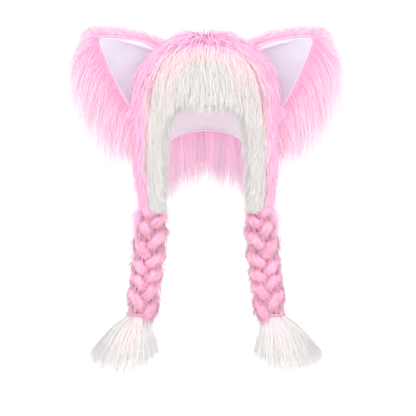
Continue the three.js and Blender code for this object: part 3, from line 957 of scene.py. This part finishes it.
def brow_fringe():
    rng = np.random.default_rng(51)
    count = BROW_FIBRES
    turn = rng.uniform(-50, 50, count)
    down = brow_line(turn) - rng.uniform(0.0, 0.24, count)
    low = dense_height(turn, down) - 1.5
    owner, off, shade = locks(hood(turn, down, low), 7.0, 52)
    tip = along(BROW_EDGE, fold(turn), "fringe") + 6 * off + rng.uniform(-5, 14, count)
    tip += 3 * np.sin(turn[owner] * 7.3) * (fold(turn) < 34)
    peak = rng.uniform(3, 17, count)
    inward = inward_lean(turn, 24, 40) * rng.uniform(0, 9, count)
    drift = fringe_drift(turn, owner, rng) + inward
    paths = hood_fibres(turn, down, down_to(tip), np.minimum(low, peak), peak, drift)
    paths = gathered(paths, COAT, owner, 0.28, 0.02, 53)
    out = outwards(turn, down) * 0.6 * (1 - smooth(fold(turn), 20, 32))[:, None]
    # Over the forehead most fibres take the darker cream as painted shade; on the flaps they keep
    # the plain cream.
    shaded = rng.random(count) > smooth(fold(turn), 22, 36)
    return paths, out, shaded.astype(float), shade


def flap_ends():
    """The loose ends at the bottom of each ear flap, which hang down over the plait's top."""
    rng = np.random.default_rng(56)
    count = FLAP_FIBRES
    side = rng.choice([-1, 1], count)
    turn = rng.uniform(46, 79, count) * side
    down = down_to(hem(turn)) - rng.uniform(0.0, 0.2, count)
    roots = hood(turn, down, rng.uniform(0.2, 1, count) * dense_height(turn, down))
    owner, _, shade = locks(roots, 6.0, 57)
    pink = smooth(fold(turn) + rng.normal(0, 2.5, count), 59, 64)
    drop = (1 + 44 * pink * rng.random(count)) * rng.uniform(0.5, 1.05, count)
    outer = np.abs(roots[:, 0]) * 0.35 + 46 + 26 * pink + rng.normal(0, 4.5, count)
    outer -= 9 * (1 - smooth(fold(turn), 48, 56))
    behind = roots[:, 1] * 0.5 - 22 + rng.normal(0, 5, count)
    ends = np.stack([side * outer, behind, -235 - drop], -1)
    knee = np.stack([roots[:, 0], roots[:, 1], (roots[:, 2] + ends[:, 2]) / 2], -1)
    part = COAT[None, :, None]
    bend = roots[:, None] * (1 - part) ** 2 + 2 * knee[:, None] * part * (1 - part)
    paths = gathered(bend + ends[:, None] * part**2, COAT, owner, 0.45, 0.03, 58)
    return paths, 0.1 * outwards(turn, down), 1 - pink, shade


def cream_tint(turn, down, places):
    return smooth(past_seam(turn, down, places), -16, 16)


# A darker copy of the cream: painted shade for the brow fringe over the forehead, where it hangs
# over the opening.
PAINTED_SHADE_CREAM = three_tones((0.44, 0.42, 0.407), (0.48, 0.462, 0.45), (0.53, 0.515, 0.5))
brow_painted_shade_pile = fur_material("brow_painted_shade_pile", CREAM, PAINTED_SHADE_CREAM, 0.27)
paths, out, tint, shade = trim_coat()
trim_pieces = [fibres("trim_pile", paths, out, 0.95, cream_pile, tint, 45, shade)]
paths, out, tint, shade = brow_fringe()
trim_pieces.append(fibres("brow_fringe", paths, out, 0.9, brow_painted_shade_pile, tint, 54, shade))
paths, out, tint, shade = flap_ends()
trim_pieces.append(fibres("flap_ends", paths, out, 0.95, pink_pile, tint, 59, shade))
trim_turns = np.linspace(-65.9, 65.9, 110)
trim_under = wall(
    "trim_underfur",
    trim_turns,
    crown_line(trim_turns),
    brow_line(trim_turns) - 0.055 * smooth(fold(trim_turns), 38, 46),
    30,
    backing,
    dense_height,
    underfur,
    cream_tint,
)
for piece in (trim_under, *trim_pieces):
    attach(piece, "root")
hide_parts("face_trim_fur")

# Ears. Each is a hollow-faced panel of smooth plush with a piped edge, backed by pink fur that
# turns round the edge, stands up along the top and hangs outwards in long locks below.
EAR_FIBRES = {"top": 1300, "apex": 1000, "low": 2500, "back": 850, "ruff": 1050}
EAR_LOCKS = {
    "at": [0, 0.3, 0.55, 0.8, 1],
    "out": [25, 24, 25, 31, 40],
    "down": [60, 80, 98, 102, 101],
}


def ear_point(side, u, v, back, grow=0.0):
    u, v, back = np.broadcast_arrays(np.asarray(u, float), v, back)
    half = ear_half(v) + grow
    outward = (v + grow * v / np.linalg.norm(EAR_OUT))[..., None] * EAR_OUT
    flat = EAR_MIDDLE + outward + (half * (2 * u - 1))[..., None] * EAR_ACROSS
    return np.stack([side * flat[..., 0], EAR_FACE + ear_hollow(u, v) + back, flat[..., 1]], -1)


ear_plush = cloth("ear_plush", (0.54, 0.515, 0.59), (0.6, 0.575, 0.64), 900, 0.6, 0.9, 0.4)
piping_satin = cloth("piping_satin", (0.62, 0.56, 0.64), (0.7, 0.64, 0.71), 1500, 0.3, 0.45, 0.3)


def ear_panel(side, name):
    v, u = np.linspace(0.1, 1, 60)[:, None], np.linspace(0, 1, 40)[None]
    front, back = ear_point(side, u, v, 0), ear_point(side, u[:, ::-1], v, 1.6)
    return loft(name, np.concatenate([front, back], 1), ear_plush)


def sweep(roots, side, angle, bend, length, back):
    """Fibres that leave at an angle in the ear's plane and bend down towards their tips."""
    course = angle[:, None] - bend[:, None] * COAT[None]
    middle, step = (course[:, 1:] + course[:, :-1]) / 2, np.diff(COAT)[None]
    start = np.zeros((len(roots), 1))
    x = np.concatenate([start, np.cumsum(np.cos(middle) * step, 1)], 1)
    z = np.concatenate([start, np.cumsum(np.sin(middle) * step, 1)], 1)
    y = back[:, None] * np.sin(COAT * 2.2)[None]
    return roots[:, None] + np.stack([side * x, y, z], -1) * length[:, None, None]


def ear_fibres(side, seed):
    """The ear's pile: along the top edge, round the apex, out of the low edge, over the back."""
    rng = np.random.default_rng(seed)
    groups = []

    def group(u, v, back, angle, bend, length, lean, pale=0.0):
        count = len(u)
        rows = ear_point(side, u, v, back, 1.5)
        angle = np.radians(angle + bend / 2) + rng.normal(0, 0.09, count)
        groups.append((rows, angle, np.radians(bend), length, lean, rng.random(count) < pale))

    n = EAR_FIBRES["top"]
    v = rng.uniform(0.02, 1, n)
    length = rng.uniform(25, 33, n) * (1.26 - 0.44 * v)
    lean = rng.normal(0.08, 0.12, n)
    u, back = rng.uniform(-0.01, 0.07, n), rng.uniform(2.2, 9, n)
    group(u, v, back, 52 - 14 * v, rng.uniform(25, 60, n), length, lean)
    n = EAR_FIBRES["apex"]
    fan = rng.random(n)
    length = (22 + 34 * fan + 58 * fan**6) * rng.uniform(0.78, 1.06, n)
    lean = rng.normal(0.05, 0.1, n)
    back = rng.uniform(2.2, 7, n)
    group(fan, np.ones(n), back, 46 - 115 * fan, rng.uniform(25, 60, n), length, lean)
    n = EAR_FIBRES["low"]
    v = rng.uniform(0.08, 1, n)
    out_low, down_low = along(EAR_LOCKS, v, "out"), along(EAR_LOCKS, v, "down")
    length = np.hypot(out_low, down_low) * (0.46 + 0.72 * rng.random(n) ** 1.6)
    angle = -np.degrees(np.arctan2(down_low, out_low))
    lean = rng.normal(0.05, 0.08, n)
    u, back = rng.uniform(0.94, 1.01, n), rng.uniform(2.2, 8, n)
    group(u, v, back, angle, rng.uniform(35, 70, n), length, lean, 0.4)
    n = EAR_FIBRES["back"]
    u, v = rng.random(n), rng.uniform(0.1, 0.98, n)
    back, length = rng.uniform(6, 9, n), rng.uniform(24, 40, n)
    group(u, v, back, 12 - 70 * u, np.full(n, 35.0), length, rng.uniform(0.1, 0.3, n))

    roots, angle, bend, length, lean, pale = (np.concatenate(column) for column in zip(*groups))
    owner, off, shade = locks(roots, 7.0, seed + 1)
    paths = sweep(roots, side, angle, bend, length * (1.04 - 0.16 * off), lean)
    paths = gathered(paths, COAT, owner, 0.24 * rng.uniform(0.3, 1.3, len(roots)), 0.02, seed + 2)
    return paths, np.zeros((len(paths), 3)), pale.astype(float), shade


def ear_ruff(side, seed):
    """Crown fur that falls forward over the inner edge of the ear's panel."""
    rng = np.random.default_rng(seed)
    n = EAR_FIBRES["ruff"]
    u = rng.random(n) ** 0.6
    v = rng.uniform(0.02, 0.14, n) + 0.2 * u**3
    roots = ear_point(side, u, v, rng.uniform(-13, -3, n))
    lean = rng.uniform(-0.25, 0.1, n)
    heading = np.stack([side * rng.uniform(0.35, 0.8, n), lean, rng.uniform(-0.8, -0.1, n)], -1)
    length = rng.uniform(12, 22, n)
    paths = roots[:, None] + heading[:, None] * length[:, None, None] * STUB[None, :, None]
    paths[..., 2] -= 0.2 * length[:, None] * (STUB**2)[None]
    owner, _, shade = locks(roots, 7.0, seed + 1)
    paths = gathered(paths, STUB, owner, 0.3, 0.04, seed + 2)
    return paths, np.tile([side * 0.3, -0.8, 0.3], (n, 1)), shade


def ear_backing(side, name):
    v, u = np.linspace(0.02, 1, 44)[:, None], np.linspace(0, 1, 26)[None]
    thick = 7 * (1 - 0.45 * v) * np.sin(math.pi * (0.06 + 0.88 * u)) ** 0.5
    front = ear_point(side, u, v, 2.0, 3.0)
    back = ear_point(side, u[:, ::-1], v, 2.8 + thick[:, ::-1], 4.5)
    rings = np.concatenate([front, back], 1)
    flow = np.stack(np.broadcast_arrays(u, v * 0.2, 0.0 * u), -1)
    flow = np.concatenate([flow, flow[:, ::-1] + [0, 0, 0.5]], 1)
    return loft(name, rings, ear_underfur, flow=flow, tint=np.zeros(rings.shape[:2]))


EAR_STITCH = {"Spacing": 3.4 * MM, "Length": 2.5 * MM, "Thickness": 0.6 * MM}
EAR_PINK = three_tones((0.94, 0.42, 0.62), (0.96, 0.575, 0.74), (0.97, 0.76, 0.85))
EAR_HAZE = three_tones((0.95, 0.46, 0.66), (0.98, 0.7, 0.83), (1.0, 0.88, 0.93))
ear_pile = fur_material("ear_pile", EAR_PINK, EAR_HAZE, 0.19)
EAR_UNDER = ((1.0, 0.44, 0.66, 1), (1.0, 0.56, 0.74, 1))
ear_underfur = underfur_material("ear_underfur", EAR_UNDER, CREAM_UNDER)
PIPING_RADIUS, LIP_RADIUS = 0.9, 2.6
for side, name in ((-1, "left"), (1, "right")):
    panel = ear_panel(side, f"ear_plush_{name}")
    edge_v = np.linspace(0.12, 0.995, 60)
    low_edge = ear_point(side, 1.0, edge_v, 0.3, 0.3)
    top_edge = ear_point(side, 0.0, edge_v[::-1], 0.3, 0.3)
    edge = np.concatenate([low_edge, top_edge])
    piping = rolled_edge(f"ear_piping_{name}", edge, PIPING_RADIUS, piping_satin)
    lip_path = ear_point(side, 0.045, np.linspace(0.16, 0.8, 40), -1.8)
    lip_size = LIP_RADIUS * np.sin(math.pi * np.linspace(0.04, 0.97, 40)) ** 0.7 + 0.3
    lip = rolled_edge(f"ear_lip_{name}", lip_path, lip_size, piping_satin, 12)
    run = np.linspace(0.2, 0.97, 60)
    stitched = [ear_point(side, 1.0, run, -0.3, -3.0), ear_point(side, 0.0, run, -0.3, -3.0)]
    thread = {"Thread": lilac_thread, **EAR_STITCH}
    stitches = grown(f"ear_stitches_{name}", stitched, stitch_row, **thread)
    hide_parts(f"ear_panel_{name}")
    for piece in (panel, piping, lip, stitches):
        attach(piece, "root")
    paths, out, tint, shade = ear_fibres(side, 61)
    pile = fibres(f"ear_pile_{name}", paths, out, 0.95, ear_pile, tint, 64, shade)
    paths, out, shade = ear_ruff(side, 65)
    ruff = fibres(f"ear_ruff_{name}", paths, out, 0.9, pink_pile, np.zeros(len(paths)), 68, shade)
    under = ear_backing(side, f"ear_underfur_{name}")
    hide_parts(f"ear_fur_{name}")
    for piece in (under, pile, ruff):
        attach(piece, "root")

# Plaited tails. Three strips of the pink fur on each side, rolled lengthwise with the pile
# outwards and plaited tightly from the flap's tip down to the tassel.
TAIL_TOP, TAIL_FOOT = np.array([73.0, -41.0, -233.5]), np.array([90.0, -42.0, -384.0])
TAIL = {"spread": 13.7, "depth": 10.8, "pitch": 74.0, "wide": 7.5, "deep": 5.0, "roll": 0.9}
STRAND_FULL = 1.1  # the strips press on each other, so they are fuller than the solids
STRAND_FIBRES = 1900
GATHERED, GATHER_LENGTH = 0.82, 30.0
TAIL_LENGTH = float(np.linalg.norm(TAIL_FOOT - TAIL_TOP))


def strand_middle(index, t):
    axis = TAIL_FOOT - TAIL_TOP
    across = np.array([1, 0, -axis[0] / axis[2]])
    across /= np.linalg.norm(across)
    turn = 2 * math.pi * t * TAIL_LENGTH / TAIL["pitch"] + 2 * math.pi * index / 3
    turn += 0.3 * np.sin(11 * t)
    ends = smooth(np.minimum(t, 1 - t) * TAIL_LENGTH, 0, GATHER_LENGTH)
    size = GATHERED + (1 - GATHERED) * ends
    place = TAIL_TOP + t[..., None] * axis
    place += (size * TAIL["spread"] * np.sin(turn))[..., None] * across
    place[..., 1] += size * TAIL["depth"] * np.sin(2 * turn)
    return place, size, TAIL["roll"] * np.cos(turn)


def strand_frame(side, index, t):
    """The middle of a strip and the two axes of its section, for the side it hangs on."""
    t = np.asarray(t, float)
    place, size, roll = strand_middle(index, t)
    travel = strand_middle(index, t + 1e-3)[0] - strand_middle(index, t - 1e-3)[0]
    travel /= np.linalg.norm(travel, axis=-1, keepdims=True)
    flat = np.cross([0, 1.0, 0], travel)
    flat /= np.linalg.norm(flat, axis=-1, keepdims=True)
    deep = np.cross(travel, flat)
    cos, sin = np.cos(roll)[..., None], np.sin(roll)[..., None]
    mirror = np.array([side, 1, 1])
    wide_axis = TAIL["wide"] * (cos * flat + sin * deep) * mirror
    deep_axis = TAIL["deep"] * (cos * deep - sin * flat) * mirror
    return place * mirror, wide_axis, deep_axis, size


PLAIT_PINK = three_tones((0.68, 0.27, 0.4), (0.71, 0.37, 0.485), (0.74, 0.48, 0.575))
PLAIT_UNDER = ((0.78, 0.31, 0.45, 1), (0.82, 0.425, 0.57, 1))
plait_pile = fur_material("plait_pile", PLAIT_PINK, CREAM, 0.19)
# The plait's underfur has the strongest painted glow, which lifts the shade in the gaps between the
# strips.
plait_underfur = underfur_material("plait_underfur", PLAIT_UNDER, CREAM_UNDER, 0.34)


def strand_core(side, index, name):
    t = np.linspace(-0.02, 0.995, 90)
    place, wide_axis, deep_axis, size = strand_frame(side, index, t)
    t = t[:, None]
    angle = np.linspace(0, 2 * math.pi, 20, endpoint=False)
    cos, sin = np.cos(angle), np.sin(angle)
    ring = cos[None, :, None] * wide_axis[:, None] + sin[None, :, None] * deep_axis[:, None]
    lumps = 1 + 0.09 * np.sin(t * 47 + 2 * index + 2 * cos) + 0.05 * np.sin(t * 83)
    rings = place[:, None] + (STRAND_FULL * size[:, None] * lumps)[..., None] * ring
    flow = np.stack(np.broadcast_arrays(0.35 * cos[None], 0.35 * sin[None], 0.35 * t), -1)
    fields = {"flow": flow, "tint": np.zeros(rings.shape[:2])}
    return loft(f"{name}_core", rings, plait_underfur, **fields)


def strand_pile(side, index, name, seed):
    """Half of the pile lies along its strip, and the loose half stands off and droops."""
    rng = np.random.default_rng(seed)
    count = STRAND_FIBRES
    t, a = rng.uniform(-0.02, 0.97, count), rng.uniform(0, 2 * math.pi, count)[:, None]
    place, wide_axis, deep_axis, size = strand_frame(side, index, t)
    outward = np.cos(a) * wide_axis + np.sin(a) * deep_axis
    roots = place + size[:, None] * outward * 0.9
    length, lift = rng.uniform(8, 20, count), rng.uniform(0.1, 0.5, count)
    paths = [roots]
    for part in STUB[1:]:
        on = np.minimum(t + part * length / 185, 1.03)
        ahead, wide_k, deep_k, size_k = strand_frame(side, index, on)
        reach = size_k * (1.12 + lift * part**1.2)
        paths.append(ahead + reach[:, None] * (np.cos(a) * wide_k + np.sin(a) * deep_k))
    paths = np.stack(paths, 1)
    outward /= np.linalg.norm(outward, axis=1, keepdims=True)
    stray = (rng.random(count) < 0.4) * rng.uniform(1, 7, count)
    paths += (outward * stray[:, None])[:, None] * (STUB**2)[None, :, None]
    middle = (TAIL_TOP + t[:, None] * (TAIL_FOOT - TAIL_TOP)) * [side, 1, 1]
    round_out = roots - middle
    round_out /= np.linalg.norm(round_out, axis=1, keepdims=True)
    straight = (TAIL_FOOT - TAIL_TOP) / TAIL_LENGTH * [side, 1, 1]
    loose = rng.random(count) < 0.5
    droop = np.stack([straight * (length * part)[:, None] for part in STUB], 1)
    rise = (3.5 * np.sin(0.75 * math.pi * STUB))[None, :, None] * round_out[:, None]
    paths = np.where(loose[:, None, None], roots[:, None] + droop + rise, paths)
    owner, _, shade = locks(roots, 5.5, seed + 1)
    paths = gathered(paths, STUB, owner, 0.4, 0.14, seed + 2)
    facing, tint = 0.4 * round_out + 0.2 * outward, np.zeros(count)
    return fibres(f"{name}_pile", paths, facing, 0.85, plait_pile, tint, seed + 3, shade)


def tail_strand(side, index, name, seed):
    core, pile = strand_core(side, index, name), strand_pile(side, index, name, seed)
    for piece in (core, pile):
        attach(piece, "root")
    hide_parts(name)


for side, name in ((-1, "left"), (1, "right")):
    for index in range(3):
        tail_strand(side, index, f"tail_strand_{name}_{index + 1}", 80 + 10 * index)

# Tassels. The loose cream ends below each plait, bound round with thread where the plait
# stops, with some of the pink pile running on down over their tops.
TASSEL_SINK = 9.0
TASSEL_RINGS = {
    "down": [0, 6, 17, 38, 59],
    "wide": [18, 21, 29, 39, 54],
    "deep": [15, 16, 19, 25, 31],
    "shift": [2, 6, 12, 17, 27],
}
TASSEL_ENDS, TASSEL_SLANT = 28.0, 11.0
TASSEL_FIBRES = 4000
TASSEL_CREAM = three_tones((0.6, 0.575, 0.56), (0.7, 0.68, 0.67), (0.8, 0.785, 0.775))
TASSEL_UNDER = ((0.63, 0.605, 0.59, 1), (0.71, 0.69, 0.675, 1))
tassel_pile = fur_material("tassel_pile", PINK, TASSEL_CREAM, 0.27, 0.96)
tassel_underfur = underfur_material("tassel_underfur", PLAIT_UNDER, TASSEL_UNDER)


def tassel_place(side, go, turn, rank):
    """A point of the tassel: how far down it is, round it, and out from its middle."""
    ring = {key: np.array(value, float) for key, value in TASSEL_RINGS.items()}
    neck = TAIL_FOOT + [0, 0, TASSEL_SINK]
    knots = ring["down"] / ring["down"][-1]
    shift, wide, deep = (np.interp(go, knots, ring[key]) for key in ("shift", "wide", "deep"))
    cos = np.cos(turn)
    ends = TASSEL_ENDS * (1 - rank * cos**2) + TASSEL_SLANT * rank * cos * np.abs(np.sin(turn))
    x = neck[0] + shift + wide * rank * cos
    y = neck[1] + deep * rank * np.sin(turn)
    return np.stack([side * x, y, neck[2] - go * (ring["down"][-1] + ends * go)], -1)


def thread_tie_tree():
    """A thread wound round in a flat coil, at the first point of the path that it is given."""
    sizes = {size: "Float" for size in ("Turns", "Wide", "Deep", "Height", "Thickness")}
    takes = {"Path": "Geometry", **sizes, "Thread": "Material"}
    tree, enter, leave = new_tree("thread_tie", "GeometryNodeTree", takes, {"Tie": "Geometry"})
    coil, oval = add(tree, "GeometryNodeCurveSpiral", "GeometryNodeTransform")
    size, here = add(tree, "ShaderNodeCombineXYZ", "GeometryNodeInputPosition")
    first, section = add(tree, "GeometryNodeSampleIndex", "GeometryNodeCurvePrimitiveCircle")
    wound, real = add(tree, "GeometryNodeCurveToMesh", "GeometryNodeRealizeInstances")
    round_off, dress = add(tree, "GeometryNodeSetShadeSmooth", "GeometryNodeSetMaterial")
    first.data_type = "FLOAT_VECTOR"
    preset(coil, {"Resolution": 32, "Start Radius": 1, "End Radius": 1})
    preset(size, {"Z": 1})
    preset(section, {"Resolution": 6})
    preset(wound, {"Fill Caps": True})
    link(
        tree,
        (enter, "Turns", coil, "Rotations"),
        (enter, "Height", coil, "Height"),
        (coil, "Curve", oval, "Geometry"),
        (enter, "Wide", size, "X"),
        (enter, "Deep", size, "Y"),
        (size, "Vector", oval, "Scale"),
        (enter, "Path", first, "Geometry"),
        (here, "Position", first, "Value"),
        (first, "Value", oval, "Translation"),
        (enter, "Thickness", section, "Radius"),
        (oval, "Geometry", wound, "Curve"),
        (section, "Curve", wound, "Profile Curve"),
        (wound, "Mesh", real, "Geometry"),
        (real, "Geometry", round_off, "Geometry"),
        (round_off, "Geometry", dress, "Geometry"),
        (enter, "Thread", dress, "Material"),
        (dress, "Geometry", leave, "Tie"),
    )
    return tree


thread_tie = thread_tie_tree()
tie_thread = cloth("tie_thread", (0.75, 0.2, 0.4), (0.92, 0.36, 0.56), 4000, 0.1, 0.5, 0.2)
TIE = {
    "Turns": 3.0,
    "Wide": 18.2 * MM,
    "Deep": 13.8 * MM,
    "Height": 3.2 * MM,
    "Thickness": 0.55 * MM,
}


def tie_middle(side):
    return (TAIL_FOOT + [1.5, 0, TASSEL_SINK - 4.0]) * [side, 1, 1]


def tassel_strands(side, name, seed):
    rng = np.random.default_rng(seed)
    count = TASSEL_FIBRES
    turn = rng.uniform(0, 2 * math.pi, count)
    turn = turn - 0.42 * np.sin(2 * turn)
    rank = rng.random(count) ** 0.4
    reach = rng.uniform(0.62, 1.14, count)
    part = STUB[None]
    spread = rank[:, None] * (0.82 + 0.18 * part**0.6)
    paths = tassel_place(side, part * reach[:, None], turn[:, None] + 0 * part, spread)
    owner, _, shade = locks(paths[:, -1] * [1, 1, 0.3], 8.0, seed + 1)
    pull = 0.17 * rng.uniform(0.3, 1.2, count)
    paths = gathered(paths, STUB, owner, pull, 0.025, seed + 2)
    out = 0.35 * np.stack([side * np.cos(turn), np.sin(turn), np.full(count, -0.1)], -1)
    middle = np.exp(-(((turn - 1.5 * math.pi) / 0.3) ** 2)) * (rank > 0.7)
    tint = 1 - 0.95 * middle * (reach < 0.8) * rng.uniform(0.5, 1, count)
    return fibres(f"{name}_pile", paths, out, 0.95, tassel_pile, tint, seed + 3, shade)


def tassel_core(side, name):
    rows = np.linspace(0, 0.8, 14)[None]
    angle = np.linspace(0, 2 * math.pi, 48, endpoint=False)[:, None]
    ripple = 1 + 0.06 * np.sin(9 * angle) + 0.04 * np.sin(17 * angle + 1)
    rank = (0.55 + 0.24 * smooth(rows, 0.05, 0.3) - 0.3 * smooth(rows, 0.35, 0.8)) * ripple
    body = tassel_place(side, rows + 0 * angle, angle + 0 * rows, rank)
    top, end = (np.broadcast_to(body[:, [k]].mean(0), body[:, [k]].shape) for k in (0, -1))
    rings = np.concatenate([top, body, end], 1)
    height = np.concatenate([rows[:, :1], rows, rows[:, -1:]], 1)
    flow = np.broadcast_arrays(0.5 * np.cos(angle), 0.5 * np.sin(angle), 0.12 * height)
    fields = {"flow": np.stack(flow, -1), "tint": np.ones(rings.shape[:2])}
    return loft(f"{name}_core", rings, tassel_underfur, True, **fields)


def tassel(side, name, seed):
    pile, core = tassel_strands(side, name, seed), tassel_core(side, name)
    tie = grown(f"{name}_tie", [[tie_middle(side)] * 2], thread_tie, Thread=tie_thread, **TIE)
    for piece in (core, pile, tie):
        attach(piece, "root")
    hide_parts(name)


for side, name in ((-1, "tassel_left"), (1, "tassel_right")):
    tassel(side, name, 120)
